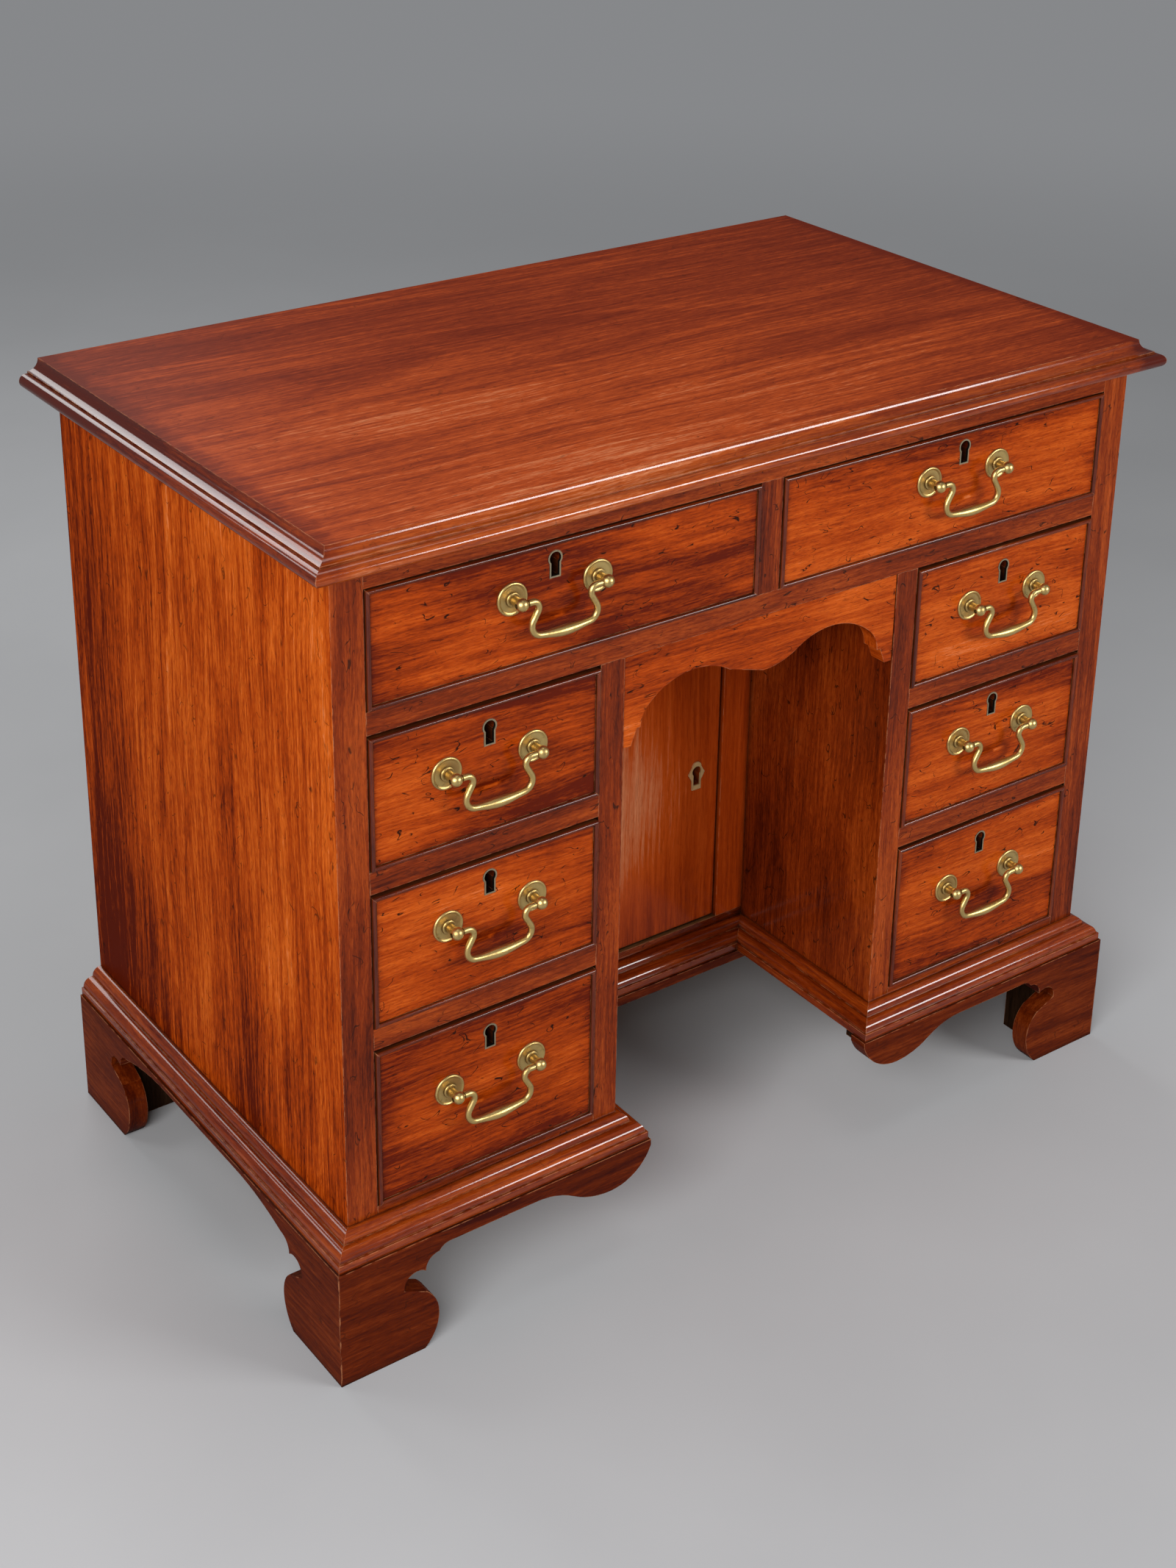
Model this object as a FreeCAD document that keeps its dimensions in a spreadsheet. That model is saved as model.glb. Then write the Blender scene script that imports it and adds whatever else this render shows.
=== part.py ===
"""Kneehole desk with eight drawers and a recessed cupboard, in millimetres.

The front faces -Y and +Z is up. The origin lies on the floor, under the middle of the overall box.
Every size below goes into the sheet, and every piece follows the sheet.
"""
import FreeCAD, Part
import math
import os

import Sketcher
from FreeCAD import Rotation, Vector

SIZES = {
    # Carcass
    "carcass_width": 876,
    "carcass_depth": 487,
    "end_thickness": 30,
    "partition_thickness": 25,
    "divider_thickness": 24,
    "kneehole_width": 310,
    "kneehole_depth": 200,
    "back_thickness": 10,
    "back_board_count": 5,
    "rail_height": 21,
    "rail_depth": 55,
    "dust_board_thickness": 10,
    "floor_thickness": 20,
    "floor_rise": 8,
    # Heights of the drawer openings, from the floor up
    "lower_opening": 159,
    "middle_opening": 129,
    "upper_opening": 124,
    "top_opening": 106,
    # Top board and its moulded edge
    "top_thickness": 26,
    "top_overhang": 25,
    "top_back_overhang": 28,
    "cove_radius": 11,
    "cove_step": 2,
    # Base moulding, from its flat band up and in to its bead
    "moulding_band": 8,
    "moulding_ledge": 2,
    "ovolo_radius": 9,
    "moulding_quirk": 1.5,
    "moulding_bead": 9,
    "moulding_lip": 0.5,
    # Bracket feet: steps of the outline from the floor, then from the arch down and out
    "foot_height": 118,
    "bracket_thickness": 20,
    "bracket_proud": 2,
    "foot_base": 85,
    "foot_bulge": 15,
    "foot_shoulder_in": 12,
    "foot_shoulder_rise": 27,
    "foot_tip_in": 23,
    "foot_tip_rise": 11,
    "cusp_out": 22,
    "cusp_rise": 12,
    "scallop_bulge": 9,
    "spandrel_out": 14,
    "spandrel_rise": 15,
    "arch_out": 11,
    "arch_rise": 6,
    "arch_rail": 13,
    "side_arch_out": 84,
    "side_arch_rail": 5,
    "lobe_length": 128,
    "lobe_end_run": 45,
    "lobe_hang": 25,
    "lobe_end_rail": 6,
    "rear_bracket_base": 80,
    "rear_bracket_slope": 50,
    "glue_block_width": 45,
    "glue_block_lift": 1,
    "lobe_block_height": 18,
    "lobe_block_depth": 22,
    "lobe_block_length": 130,
    "lobe_block_inset": 14,
    "plinth_strip_height": 10,
    # Apron: the middle arches, then steps in from its ends
    "apron_thickness": 18,
    "apron_setback": 1,
    "apron_arch_reach": 78,
    "apron_arch_depth": 32,
    "apron_drop": 23,
    "apron_haunch_drop": 17,
    "apron_flank_run": 12,
    "apron_flank_drop": 23,
    "apron_flank_bulge": 3,
    "apron_step": 4,
    "apron_slant_run": 6,
    "apron_slant_drop": 15.5,
    "apron_tip_width": 9,
    # Cupboard
    "stile_width": 34,
    "stile_thickness": 22,
    "door_head": 61,
    "door_thickness": 18,
    "door_recess": 4,
    "door_gap": 2,
    "door_lock_side": 27.5,
    "door_key_height": 173,
    # Key plate of the door, from its foot up to the round lobe at its top
    "plate_thickness": 1.5,
    "plate_foot_width": 11,
    "plate_foot_height": 10,
    "plate_cusp_width": 20,
    "plate_cusp_rise": 8,
    "plate_shoulder_rise": 7.5,
    "plate_lobe_width": 11,
    # Butt hinges of the door
    "hinge_height": 50,
    "hinge_inset": 60,
    "leaf_thickness": 1,
    "leaf_clearance": 0.5,
    "leaf_margin": 2,
    "knuckle_diameter": 6.4,
    "knuckle_gap": 0.3,
    "knuckle_standoff": 0.4,
    "hinge_pin_diameter": 3,
    # Drawers
    "front_thickness": 20,
    "drawer_rear_room": 22,
    "drawer_side_gap": 1,
    "drawer_seat_gap": 0.4,
    "pedestal_top_gap": 3,
    "top_drawer_gap": 1.2,
    "side_thickness": 10,
    "side_top_drop": 4,
    "drawer_back_thickness": 9,
    "drawer_back_drop": 12,
    "bottom_thickness": 7,
    "bottom_clearance": 2.4,
    "bead_width": 4,
    "bead_depth": 12,
    "bead_projection": 2.8,
    "stop_height": 6,
    "stop_length": 18,
    "stop_width": 40,
    "stop_inset": 30,
    "stop_gap": 0.3,
    # Keyholes and locks
    "keyhole_height": 24,
    "keyhole_slot": 11,
    "keyhole_shoulder": 1.5,
    "lining_wall": 1.4,
    "lining_depth": 2.5,
    "lining_proud": 0.3,
    "lock_clearance": 8,
    "lock_height": 36,
    "lock_thickness": 9,
    # Heights of handles above, and of keyholes below, the middle and the top of each drawer opening
    "top_handle_rise": 10,
    "upper_handle_rise": 7,
    "middle_handle_rise": 10,
    "lower_handle_rise": 11,
    "top_keyhole_drop": 22.5,
    "upper_keyhole_drop": 30,
    "middle_keyhole_drop": 26,
    "lower_keyhole_drop": 30,
    # Handles
    "top_handle_offset": 18,
    "pedestal_handle_offset": -2,
    "post_spacing": 85,
    "pivot_reach": 14.5,
    "rose_diameter": 29.6,
    "rose_thickness": 2.2,
    "rose_rim": 1.6,
    "rose_dish": 0.8,
    "boss_diameter": 13,
    "boss_height": 1.2,
    "bolt_diameter": 5,
    "bolt_end": 1,
    "nut_diameter": 13,
    "nut_thickness": 4,
    "post_neck_diameter": 8,
    "post_head_diameter": 11.6,
    "bail_pin_diameter": 4,
    "bail_pin_overrun": 2.5,
    "bail_neck_diameter": 5.8,
    "bail_grip_diameter": 9.2,
    "bail_shoulder_gap": 0.5,
    "bail_shoulder_run": 4,
    "bail_neck_bend": 6.2,
    "bail_neck_turn": 120,
    "bail_neck_run": 9,
    "bail_corner_bend": 9.5,
    "bail_grip_slope": 8,
    # Running clearance of every pin in its hole, on the radius
    "pin_clearance": 0.06,
}

doc = FreeCAD.newDocument("kneehole_desk")
sheet = doc.addObject("Spreadsheet::Sheet", "size")
for row, (alias, number) in enumerate(SIZES.items(), start=1):
    sheet.set(f"A{row}", str(number))
    sheet.setAlias(f"A{row}", alias)
doc.recompute()


class Length:
    """A number and the formula on the sheet that gives it."""

    def __init__(self, value, formula):
        self.value = float(value)
        self.formula = formula

    def __float__(self):
        return self.value

    def __add__(self, other):
        other = length(other)
        return Length(self.value + other.value, f"({self.formula} + {other.formula})")

    def __radd__(self, other):
        return length(other) + self

    def __sub__(self, other):
        other = length(other)
        return Length(self.value - other.value, f"({self.formula} - {other.formula})")

    def __rsub__(self, other):
        return length(other) - self

    def __mul__(self, factor):
        factor = length(factor)
        return Length(self.value * factor.value, f"({self.formula} * {factor.formula})")

    def __truediv__(self, factor):
        factor = length(factor)
        return Length(self.value / factor.value, f"({self.formula} / {factor.formula})")

    def __neg__(self):
        return Length(-self.value, f"(-1 * {self.formula})")

    def root(self):
        return Length(math.sqrt(self.value), f"sqrt({self.formula})")


def length(item):
    """Any plain number as a Length."""
    if isinstance(item, Length):
        return item
    return Length(item, f"({float(item)!r})")


def of_sheet(alias):
    return Length(sheet.get(alias), f"size.{alias}")


class Sheet:
    """The sheet's cells as attributes."""

    def __getattr__(self, alias):
        return of_sheet(alias)


S = Sheet()
ZERO = length(0)


# Building blocks

def bind(item, **formulas):
    """Tie properties of a document object to lengths."""
    for name, value in formulas.items():
        item.setExpression(name, length(value).formula)


def place(item, x=ZERO, y=ZERO, z=ZERO):
    for axis, value in zip("xyz", (x, y, z)):
        item.setExpression(f"Placement.Base.{axis}", length(value).formula)
    return item


def box(name, x, y, z):
    """A board between two values on each axis."""
    board = doc.addObject("Part::Box", name)
    bind(board, Length=x[1] - x[0], Width=y[1] - y[0], Height=z[1] - z[0])
    return place(board, x[0], y[0], z[0])


def upright_cylinder(name, diameter, x, y, z):
    pin = doc.addObject("Part::Cylinder", name)
    bind(pin, Radius=diameter / 2, Height=z[1] - z[0])
    return place(pin, x, y, z[0])


def join(kind, name, base, tool):
    """A boolean of two objects: Part::Cut, Part::Common or Part::Fuse."""
    result = doc.addObject(kind, name)
    result.Base = base
    result.Tool = tool
    return result


def fuse(name, pieces):
    result = doc.addObject("Part::MultiFuse", name)
    result.Shapes = pieces
    return result


def group(name, pieces):
    """Separate solids that share one sub-part."""
    result = doc.addObject("Part::Compound", name)
    result.Links = pieces
    return result


def arc_geometry(start, end, radius):
    """The shorter arc from start to end: a positive radius turns left, a negative one right."""
    chord = end - start
    middle = (start + end) / 2
    left = Vector(-chord.y, chord.x, 0).normalize()
    reach = math.sqrt(max(radius ** 2 - (chord.Length / 2) ** 2, 0))
    centre = middle + left * math.copysign(reach, radius)
    first, last = (start, end) if radius > 0 else (end, start)
    circle = Part.Circle(centre, Vector(0, 0, 1), abs(radius))
    angles = [math.atan2(p.y - centre.y, p.x - centre.x) for p in (first, last)]
    return Part.ArcOfCircle(circle, angles[0], angles[1])


def draw(sketch, outline):
    """Draw a closed outline of corners (u, v) or (u, v, radius of the arc that arrives there)."""
    corners = [(length(c[0]), length(c[1])) for c in outline]
    points = [Vector(float(u), float(v), 0) for u, v in corners]
    count = len(outline)
    first = sketch.GeometryCount
    shapes = []
    radii = []
    for i in range(count):
        target = outline[(i + 1) % count]
        start, end = points[i], points[(i + 1) % count]
        if len(target) == 3:
            radii.append(length(target[2]))
            shapes.append(arc_geometry(start, end, float(target[2])))
        else:
            radii.append(None)
            shapes.append(Part.LineSegment(start, end))
    sketch.addGeometry(shapes, False)
    rules = []
    formulas = {}

    def path_ends(i):
        """Which end of geometry i is its start along the outline, and which its finish."""
        turns_right = radii[i] is not None and radii[i].value < 0
        return (2, 1) if turns_right else (1, 2)

    def rule(formula, *terms):
        formulas[sketch.ConstraintCount + len(rules)] = formula
        rules.append(Sketcher.Constraint(*terms))

    for i in range(count):
        following = (i + 1) % count
        rules.append(Sketcher.Constraint(
            "Coincident", first + i, path_ends(i)[1], first + following, path_ends(following)[0]))
    for i, (u, v) in enumerate(corners):
        start = path_ends(i)[0]
        rule(u.formula, "DistanceX", -1, 1, first + i, start, u.value)
        rule(v.formula, "DistanceY", -1, 1, first + i, start, v.value)
        if radii[i] is not None:
            radius = radii[i] if radii[i].value > 0 else -radii[i]
            rule(radius.formula, "Radius", first + i, radius.value)
    sketch.addConstraint(rules)
    for index, formula in formulas.items():
        sketch.setExpression(f"Constraints[{index}]", formula)


PLANES = {"plan": "XY_Plane", "front": "XZ_Plane", "side": "YZ_Plane"}


def sketch_on(body, plane, *outlines):
    sketch = body.newObject("Sketcher::SketchObject", f"{body.Name}_sketch")
    support = [feature for feature in body.Origin.OriginFeatures if feature.Role == PLANES[plane]][0]
    sketch.AttachmentSupport = (support, "")
    sketch.MapMode = "FlatFace"
    for outline in outlines:
        draw(sketch, outline)
    return sketch


def extrusion(name, plane, outlines, thickness):
    """A padded outline. A front outline grows along +Y, a side one along +X and a plan one along +Z."""
    body = doc.addObject("PartDesign::Body", name)
    pad = body.newObject("PartDesign::Pad", f"{name}_pad")
    pad.Profile = sketch_on(body, plane, *outlines)
    pad.Reversed = plane == "front"
    bind(pad, Length=thickness)
    return body


def pocket(body, outlines, depth):
    """Cut outlines into a body's front face, along +Y."""
    cut = body.newObject("PartDesign::Pocket", f"{body.Name}_pocket")
    cut.Profile = sketch_on(body, "front", *outlines)
    bind(cut, Length=depth)
    return body


def rectangle(u, v):
    return [(u[0], v[0]), (u[1], v[0]), (u[1], v[1]), (u[0], v[1])]


def mirrored(outline):
    """The same outline on the other side of u = 0, still drawn the same way round."""
    result = []
    count = len(outline)
    for i in range(count):
        corner = outline[-i % count]
        arriving = outline[(1 - i) % count]
        point = (-length(corner[0]), corner[1])
        result.append(point + (arriving[2],) if len(arriving) == 3 else point)
    return result


def reflected(outline):
    """A run of corners reflected in u = 0 and walked backwards, so that it follows on from the first run."""
    result = []
    count = len(outline)
    for i in range(count):
        corner = outline[count - 1 - i]
        point = (-length(corner[0]), corner[1])
        arc = outline[count - i][2:] if i else ()
        result.append(point + arc)
    return result


def spread(middle, width):
    """A span of this width about its middle."""
    return (middle - width / 2, middle + width / 2)


def either_side(side, near, far):
    """A span on the right for side 1, or its mirror on the left for side -1."""
    return (near, far) if side > 0 else (-far, -near)


SIDES = {"left": -1, "right": 1}

# Main planes of the carcass

half_width = S.carcass_width / 2
end_inner = half_width - S.end_thickness
knee = S.kneehole_width / 2
partition_outer = knee + S.partition_thickness
divider_half = S.divider_thickness / 2

overall_depth = S.top_overhang + S.carcass_depth + S.top_back_overhang
front = S.top_overhang - overall_depth / 2
back = front + S.carcass_depth
back_inner = back - S.back_thickness
cupboard_front = front + S.kneehole_depth

moulding_projection = S.moulding_ledge + S.ovolo_radius + S.moulding_quirk + S.moulding_bead + S.moulding_lip
moulding_height = S.moulding_band + S.ovolo_radius + S.moulding_bead
moulding_top = S.foot_height + moulding_height
floor_top = moulding_top + S.floor_rise
floor_under = floor_top - S.floor_thickness
lower = (floor_top, floor_top + S.lower_opening)
middle = (lower[1] + S.rail_height, lower[1] + S.rail_height + S.middle_opening)
upper = (middle[1] + S.rail_height, middle[1] + S.rail_height + S.upper_opening)
top_row = (upper[1] + S.rail_height, upper[1] + S.rail_height + S.top_opening)
carcass_top = top_row[1] + S.rail_height
desk_top = carcass_top + S.top_thickness

sub_parts = []


def keep(item):
    sub_parts.append(item)
    return item


# Top board: one moulded section across it and one along it, where they meet

nose_radius = (S.top_thickness - S.cove_radius - S.cove_step) / 2
nose_top = carcass_top + nose_radius * 2
cove_foot = nose_top + S.cove_step


def edge_steps(nose_centre, outward):
    """Corners of the moulded edge from its underside up to the top face, outward being +1 or -1."""
    inner = nose_centre - S.cove_step * outward
    return [
        (nose_centre, carcass_top),
        (nose_centre + nose_radius * outward, carcass_top + nose_radius, nose_radius),
        (nose_centre, nose_top, nose_radius),
        (inner, nose_top),
        (inner, cove_foot),
        (inner - S.cove_radius * outward, desk_top, -S.cove_radius),
    ]


def top_board():
    nose_half = half_width + S.top_overhang - nose_radius
    right_edge = edge_steps(nose_half, 1)
    inner = nose_half - S.cove_step
    across = right_edge + [
        (S.cove_radius - inner, desk_top),
        (-inner, cove_foot, -S.cove_radius),
        (-inner, nose_top),
        (-nose_half, nose_top),
        (-nose_half - nose_radius, carcass_top + nose_radius, nose_radius),
        (-nose_half, carcass_top, nose_radius),
    ]
    front_nose = front - S.top_overhang + nose_radius
    front_inner = front_nose + S.cove_step
    back_edge = back + S.top_back_overhang
    along = [
        (front_nose, carcass_top, nose_radius),
        (back_edge, carcass_top),
        (back_edge, desk_top),
        (front_inner + S.cove_radius, desk_top),
        (front_inner, cove_foot, -S.cove_radius),
        (front_inner, nose_top),
        (front_nose, nose_top),
        (front_nose - nose_radius, carcass_top + nose_radius, nose_radius),
    ]
    section = place(extrusion("top_section", "front", [across], overall_depth), y=front - S.top_overhang)
    overall_width = S.carcass_width + S.top_overhang * 2
    profile = place(extrusion("top_profile", "side", [along], overall_width), x=-half_width - S.top_overhang)
    keep(join("Part::Common", "top_board", section, profile))


# Carcass boards

def carcass():
    full_depth = (front, back)
    inner_depth = (front, back_inner)
    rail_span = (front, front + S.rail_depth)
    behind_rail = (front + S.rail_depth, back_inner)
    full_width = (-end_inner, end_inner)
    rails = []
    dust_boards = []
    floors = []
    for word, side in SIDES.items():
        keep(box(f"{word}_end", either_side(side, end_inner, half_width), full_depth,
                 (S.foot_height, carcass_top)))
        keep(box(f"{word}_kneehole_side", either_side(side, knee, partition_outer), inner_depth,
                 (S.foot_height, upper[1])))
        pedestal = either_side(side, partition_outer, end_inner)
        for level, opening in (("lower", lower), ("middle", middle)):
            rail_top = opening[1] + S.rail_height
            rails.append(box(f"{word}_{level}_rail", pedestal, rail_span, (opening[1], rail_top)))
            dust_boards.append(box(f"{word}_{level}_dust_board", pedestal, behind_rail,
                                   (rail_top - S.dust_board_thickness, rail_top)))
        floors.append(box(f"{word}_floor", pedestal, inner_depth, (floor_under, floor_top)))
    keep(group("drawer_rails", rails))
    keep(group("dust_boards", dust_boards))
    keep(group("pedestal_floors", floors))
    keep(box("middle_rail", full_width, rail_span, (upper[1], top_row[0])))
    keep(box("kneehole_ceiling", full_width, behind_rail, (upper[1], top_row[0])))
    keep(box("centre_divider", (-divider_half, divider_half), inner_depth, top_row))
    rear_span = (back_inner - S.rail_depth, back_inner)
    keep(group("top_rails", [box("front_top_rail", full_width, rail_span, (top_row[1], carcass_top)),
                             box("rear_top_rail", full_width, rear_span, (top_row[1], carcass_top))]))
    board_count = int(float(S.back_board_count))
    board_width = end_inner * 2 / board_count
    boards = []
    for i in range(board_count):
        span = (board_width * i - end_inner, board_width * (i + 1) - end_inner)
        boards.append(box(f"back_board_{i + 1}", span, (back_inner, back), (S.foot_height, carcass_top)))
    keep(group("back_boards", boards))


# Shaped boards: the apron and the bracket feet

def level_arc(run, rise):
    """Radius of an arc that is level at one end and covers this run and rise."""
    return (run * run + rise * rise) / (rise * 2)


def bulged_arc(run, rise, bulge):
    """Radius of an arc that covers this run and rise and swells by bulge off its chord."""
    return ((run * run + rise * rise) / 4 + bulge * bulge) / (bulge * 2)


def path(start, *steps):
    """Corners from a start by steps (run, rise) or (run, rise, radius of the arc)."""
    corners = [start]
    for run, rise, *radius in steps:
        u, v = corners[-1][:2]
        corners.append((u + run, v + rise, *radius))
    return corners


def apron():
    """Two arches with a drop between them, and a small stepped tip at each end."""
    top = upper[1]
    half_run = S.apron_arch_reach / 2
    half_drop = S.apron_drop / 2
    wave = level_arc(half_run, half_drop)
    haunch_reach = knee - S.apron_tip_width - S.apron_slant_run - S.apron_step - S.apron_flank_run
    haunch_run = haunch_reach - S.apron_arch_reach
    haunch = level_arc(haunch_run, S.apron_haunch_drop)
    flank = bulged_arc(S.apron_flank_run, S.apron_flank_drop, S.apron_flank_bulge)
    right = path(
        (ZERO, top - S.apron_arch_depth - S.apron_drop),
        (half_run, half_drop, wave),
        (half_run, half_drop, -wave),
        (haunch_run, -S.apron_haunch_drop, -haunch),
        (S.apron_flank_run, -S.apron_flank_drop, -flank),
        (S.apron_step, ZERO),
        (S.apron_slant_run, -S.apron_slant_drop),
        (S.apron_tip_width, ZERO),
    ) + [(knee, top)]
    board = extrusion("apron", "front", [right + reflected(right)[:-1]], S.apron_thickness)
    keep(place(board, y=front + S.apron_setback))


spandrel_height = S.foot_height - S.arch_rail - S.arch_rise


def foot_steps():
    """Corners of a foot from its outer corner along the floor and up to the spandrel under the arch."""
    belly_height = spandrel_height - S.spandrel_rise - S.cusp_rise - S.foot_tip_rise - S.foot_shoulder_rise
    return path(
        (ZERO, ZERO),
        (S.foot_base, ZERO),
        (S.foot_bulge, belly_height, level_arc(belly_height, S.foot_bulge)),
        (-S.foot_shoulder_in, S.foot_shoulder_rise, level_arc(S.foot_shoulder_rise, S.foot_shoulder_in)),
        (-S.foot_tip_in, S.foot_tip_rise),
        (S.cusp_out, S.cusp_rise, -bulged_arc(S.cusp_out, S.cusp_rise, S.scallop_bulge)),
        (S.spandrel_out, S.spandrel_rise, -level_arc(S.spandrel_out, S.spandrel_rise)),
    )


bracket_projection = moulding_projection + S.bracket_proud
bracket_outer = half_width + bracket_projection
bracket_front = front - bracket_projection
bracket_inner = bracket_outer - S.bracket_thickness
bracket_front_inner = bracket_front + S.bracket_thickness
bracket_end = knee - bracket_projection


def front_bracket(word, side):
    """A front foot with a long arch that ends in a hanging lobe beside the kneehole, mitred at the corner."""
    span = bracket_outer - bracket_end
    half_run = (S.lobe_length - S.lobe_end_run) / 2
    half_hang = S.lobe_hang / 2
    wave = level_arc(half_run, half_hang)
    end_rise = S.arch_rail + S.lobe_hang - S.lobe_end_rail
    arch = (S.arch_out, S.arch_rise, -level_arc(S.arch_out, S.arch_rise))
    arch_end = (span - S.lobe_length, S.foot_height - S.arch_rail)
    lobe = path(
        arch_end,
        (half_run, -half_hang, -wave),
        (half_run, -half_hang, wave),
        (S.lobe_end_run, end_rise, level_arc(S.lobe_end_run, end_rise)),
        (ZERO, S.lobe_end_rail),
    )
    foot = foot_steps()
    outline = foot + path(foot[-1], arch)[1:] + lobe + [(ZERO, S.foot_height)]
    outline = outline if side < 0 else mirrored(outline)
    board = extrusion(f"{word}_front_bracket_outline", "front", [outline], S.bracket_thickness)
    place(board, x=bracket_outer * side, y=bracket_front)
    corners = [
        (bracket_outer * side, bracket_front),
        (bracket_end * side, bracket_front),
        (bracket_end * side, bracket_front_inner),
        (bracket_inner * side, bracket_front_inner),
    ]
    plan = extrusion(f"{word}_front_bracket_plan", "plan", [corners], S.foot_height)
    return join("Part::Common", f"{word}_front_bracket", board, plan)


def side_bracket(word, side):
    """The board of a front and a rear foot with the long arch between them."""
    span = back - bracket_front
    side_rise = S.foot_height - S.side_arch_rail - spandrel_height
    foot = foot_steps()
    near = foot + path(foot[-1], (S.side_arch_out, side_rise, -level_arc(S.side_arch_out, side_rise)))[1:]
    far = [(span + corner[0],) + corner[1:] for corner in reflected(near)]
    outline = near + far + [(span, S.foot_height), (ZERO, S.foot_height)]
    board = extrusion(f"{word}_side_bracket_outline", "side", [outline], S.bracket_thickness)
    place(board, x=bracket_inner if side > 0 else -bracket_outer, y=bracket_front)
    corners = [
        (bracket_outer * side, bracket_front),
        (bracket_inner * side, bracket_front_inner),
        (bracket_inner * side, back),
        (bracket_outer * side, back),
    ]
    plan = extrusion(f"{word}_side_bracket_plan", "plan", [corners], S.foot_height)
    return join("Part::Common", f"{word}_side_bracket", board, plan)


def rear_bracket(word, side):
    """A plain sloping board behind a rear foot."""
    slope = [
        (bracket_inner * side, ZERO),
        ((bracket_inner - S.rear_bracket_base) * side, ZERO),
        ((bracket_inner - S.rear_bracket_base - S.rear_bracket_slope) * side, S.foot_height),
        (bracket_inner * side, S.foot_height),
    ]
    board = extrusion(f"{word}_rear_bracket", "front", [slope], S.bracket_thickness)
    return place(board, y=back - S.bracket_thickness)


def feet():
    fronts = []
    ends = []
    rears = []
    blocks = []
    block_height = (S.glue_block_lift, S.foot_height)
    rear_face = back - S.bracket_thickness
    lobe_start = bracket_end + S.lobe_block_inset
    for word, side in SIDES.items():
        fronts.append(front_bracket(word, side))
        ends.append(side_bracket(word, side))
        rears.append(rear_bracket(word, side))
        across = either_side(side, bracket_inner - S.glue_block_width, bracket_inner)
        front_depth = (bracket_front_inner, bracket_front_inner + S.glue_block_width)
        rear_depth = (rear_face - S.glue_block_width, rear_face)
        blocks.append(box(f"{word}_front_block", across, front_depth, block_height))
        blocks.append(box(f"{word}_rear_block", across, rear_depth, block_height))
        lobe_span = either_side(side, lobe_start, lobe_start + S.lobe_block_length)
        lobe_depth = (bracket_front_inner, bracket_front_inner + S.lobe_block_depth)
        blocks.append(box(f"{word}_lobe_block", lobe_span, lobe_depth,
                          (S.foot_height - S.lobe_block_height, S.foot_height)))
    keep(group("front_brackets", fronts))
    keep(group("side_brackets", ends))
    keep(group("rear_brackets", rears))
    keep(group("glue_blocks", blocks))
    strip_front = cupboard_front - bracket_projection
    keep(box("plinth_strip", (-knee, knee), (strip_front, strip_front + S.bracket_thickness),
             (S.foot_height - S.plinth_strip_height, S.foot_height)))


# Base moulding: straight runs with a flat band, an ovolo and a bead, mitred where they meet

def moulding_run(name, along, face, outward, span, mitres):
    """One run on a face of the carcass. A mitre is 1 at an outer corner, -1 at an inner one, else 0."""
    reach = moulding_projection
    steps = path(
        (ZERO, ZERO),
        (reach, ZERO),
        (ZERO, S.moulding_band),
        (-S.moulding_ledge, ZERO),
        (-S.ovolo_radius, S.ovolo_radius, S.ovolo_radius * outward),
        (-S.moulding_quirk, ZERO),
        (-S.moulding_bead, S.moulding_bead, S.moulding_bead * outward),
        (-S.moulding_lip, ZERO),
    )
    outline = [(face + s[0] * outward, S.foot_height + s[1]) + s[2:] for s in steps]
    whole = span[1] - span[0] + reach * 2
    profile = extrusion(f"{name}_profile", "side" if along == "x" else "front", [outline], whole)
    place(profile, **{along: span[0] - reach})
    outer = face + reach * outward
    corners = [
        (span[0], face),
        (span[1], face),
        (span[1] + reach * mitres[1], outer),
        (span[0] - reach * mitres[0], outer),
    ]
    if along == "y":
        corners = [(across, onward) for onward, across in corners]
    plan = extrusion(f"{name}_plan", "plan", [corners], moulding_height)
    place(plan, z=S.foot_height)
    return join("Part::Common", name, profile, plan)


def base_moulding():
    runs = [moulding_run("kneehole_back_moulding", "x", cupboard_front, -1, (-knee, knee), (-1, -1))]
    for word, side in SIDES.items():
        runs.append(moulding_run(f"{word}_end_moulding", "y", half_width * side, side, (front, back), (1, 0)))
        runs.append(moulding_run(f"{word}_front_moulding", "x", front, -1,
                                 either_side(side, knee, half_width), (1, 1)))
        runs.append(moulding_run(f"{word}_kneehole_moulding", "y", knee * side, -side,
                                 (front, cupboard_front), (1, -1)))
    keep(group("base_moulding", runs))


# Keyholes

def keyhole_outline(slot, height, x=ZERO, z=ZERO):
    """A round head over a straight slot, centred on x and z."""
    head = slot / 2 + S.keyhole_shoulder
    foot = z - height / 2
    top = z + height / 2
    waist = top - head - (head * head - slot * slot / 4).root()
    return [
        (x - slot / 2, foot),
        (x + slot / 2, foot),
        (x + slot / 2, waist),
        (x, top, head),
        (x - slot / 2, waist, head),
    ]


def round_outline(diameter, x, z):
    radius = diameter / 2
    return [
        (x, z - radius, radius),
        (x + radius, z, radius),
        (x, z + radius, radius),
        (x - radius, z, radius),
    ]


key_slot = S.keyhole_slot - S.lining_wall * 2
key_height = S.keyhole_height - S.lining_wall * 2
lock_width = S.post_spacing - S.nut_diameter - S.lock_clearance * 2


# Cupboard at the back of the kneehole

opening_half = knee - S.stile_width
hinge_gap = S.leaf_thickness * 2 + S.leaf_clearance
door_left = hinge_gap - opening_half
door_right = opening_half - S.door_gap
door_face = cupboard_front + S.door_recess
door_back = door_face + S.door_thickness
door_key_x = door_right - S.door_lock_side
door_key_z = floor_top + S.door_key_height
door_span = (floor_top + S.door_gap, upper[1] - S.door_head - S.door_gap)


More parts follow.
